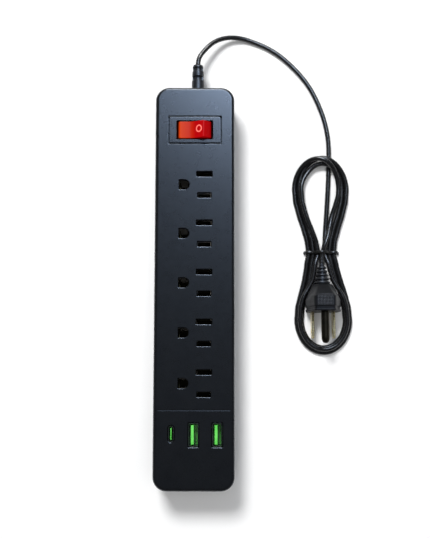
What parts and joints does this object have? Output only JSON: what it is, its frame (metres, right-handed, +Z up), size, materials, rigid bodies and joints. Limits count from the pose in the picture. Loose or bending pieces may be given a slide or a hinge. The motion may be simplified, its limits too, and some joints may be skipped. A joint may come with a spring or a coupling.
{
  "type": "power strip",
  "caption": "Slim black power strip with a row of grounded outlets, a lit red rocker switch, USB ports at one end and a thin mains lead folded into a tied hank.",
  "frame": {"origin": "centre of the housing's flat underside", "axes": "+Z up out of the outlet face, +Y along the strip towards the rocker switch and the lead, +X across it towards the blade slots"},
  "size_m": [0.119, 0.2778, 0.0318],
  "materials": {
    "housing_plastic": "fine matt moulded texture",
    "screw_steel": "zinc plated",
    "switch_plastic": "fine matt moulded texture",
    "rocker_red": "glossy translucent red, lit from inside at one end",
    "white_plastic": "natural nylon",
    "spring_steel": "bright wire",
    "contact_brass": "rolled brass",
    "lamp_glass": "clear glass with an orange glow",
    "resistor": "lacquered",
    "circuit_board": "solder resist",
    "port_steel": "nickel plated sheet",
    "port_green": "bright green moulding",
    "transformer_tape": "yellow winding tape",
    "component_black": "moulded",
    "wire_black": "PVC insulation",
    "wire_white": "PVC insulation",
    "wire_green": "PVC insulation",
    "cord_black": "glossy black PVC jacket",
    "tie_black": "coated wire",
    "plug_black": "moulded, satin",
    "blade_brass": "stamped brass, slightly dulled"
  },
  "bodies": {
    "housing": {"top_cover": "housing_plastic", "bottom_cover": "housing_plastic", "cover_screw_1": "screw_steel", "cover_screw_2": "screw_steel", "cover_screw_3": "screw_steel", "cover_screw_4": "screw_steel", "cover_screw_5": "screw_steel", "cover_screw_6": "screw_steel", "switch_housing": "switch_plastic", "switch_line_in_terminal": "contact_brass", "switch_line_out_terminal": "contact_brass", "switch_neutral_terminal": "contact_brass", "switch_lamp": "lamp_glass", "switch_lamp_resistor": "resistor", "contact_plate": "white_plastic", "neutral_contact_strip": "contact_brass", "line_contact_strip": "contact_brass", "ground_contact_strip": "contact_brass", "usb_board": "circuit_board", "usb_c_shell": "port_steel", "usb_c_tongue": "port_green", "usb_a_shell_1": "port_steel", "usb_a_tongue_1": "port_green", "usb_a_shell_2": "port_steel", "usb_a_tongue_2": "port_green", "usb_transformer": "transformer_tape", "usb_input_capacitor": "component_black", "usb_output_capacitor": "component_black", "usb_power_chip": "component_black", "line_wire": "wire_black", "switched_line_wire": "wire_black", "neutral_wire": "wire_white", "ground_wire": "wire_green", "lamp_wire": "wire_white", "usb_neutral_wire": "wire_white", "usb_line_wire": "wire_black", "cord_inner_end": "cord_black", "cord_clamp": "white_plastic", "cord_clamp_screw_1": "screw_steel", "cord_clamp_screw_2": "screw_steel", "strain_relief": "cord_black", "cord": "cord_black", "cord_hank": "cord_black", "cord_tie": "tie_black", "plug_body": "plug_black", "plug_relief": "cord_black", "plug_neutral_blade": "blade_brass", "plug_line_blade": "blade_brass", "plug_ground_pin": "blade_brass"},
    "rocker": {"switch_rocker": "rocker_red", "switch_plunger": "white_plastic", "switch_spring": "spring_steel"},
    "contact_arm": {"switch_contact_arm": "contact_brass"}
  },
  "joints": [
    {"name": "rocker_tilt", "type": "hinge", "parent": "housing", "child": "rocker", "pos_m": [-0.0001, 0.092, 0.0217], "axis": [0, 1, 0], "range_deg": [0, 28]},
    {"name": "contact_arm_tilt", "type": "hinge", "parent": "housing", "child": "contact_arm", "pos_m": [-0.0001, 0.092, 0.0138], "axis": [0, 1, 0], "range_deg": [-15.4, 0]}
  ],
  "couplings": [
    {"joint": "contact_arm_tilt", "follows": "rocker_tilt", "ratio": -0.55}
  ]
}
